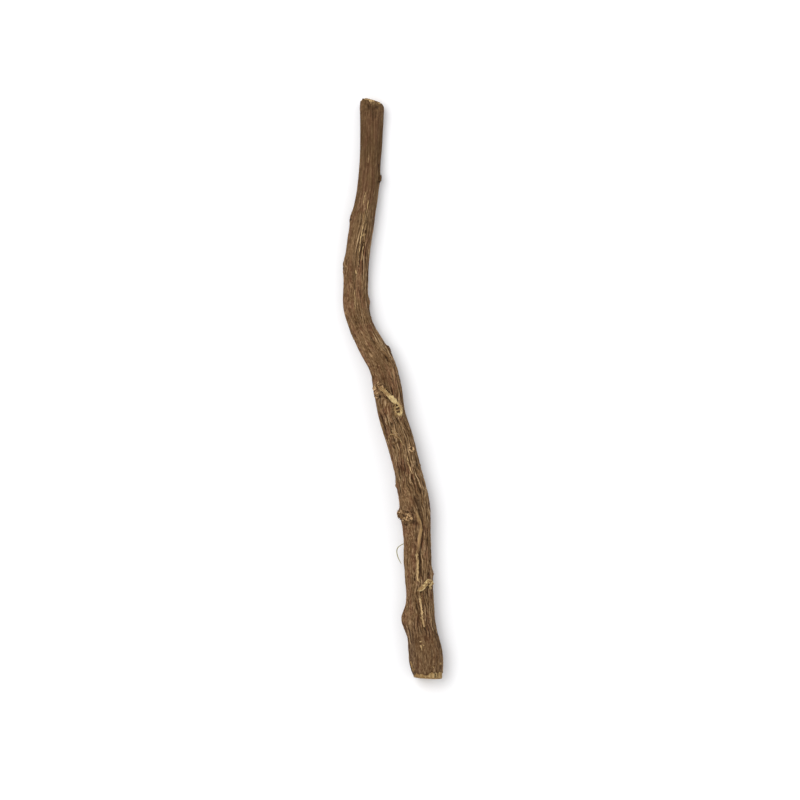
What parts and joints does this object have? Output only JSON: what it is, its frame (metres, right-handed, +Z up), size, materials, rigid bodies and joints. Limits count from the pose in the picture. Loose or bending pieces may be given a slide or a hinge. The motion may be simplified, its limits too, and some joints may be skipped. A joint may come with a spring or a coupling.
{
  "type": "licorice root",
  "caption": "Dried licorice root stick: a gently bent, wrinkled brown root, thin at one end and thick at the other, with knots, rootlet scars and pale cut ends.",
  "frame": {"origin": "on the surface that the root lies on, under the middle of its bounding box", "axes": "+Z up, +Y along the root from its thick end towards its thin end, +X to the right as seen from above with the thin end away"},
  "size_m": [0.0311, 0.18, 0.0112],
  "materials": {
    "bark": "dry wrinkled brown bark with paler worn crests, pale tan wood at the cut ends and scars, matte"
  },
  "bodies": {
    "root": {"licorice_root": "bark"}
  },
  "joints": []
}
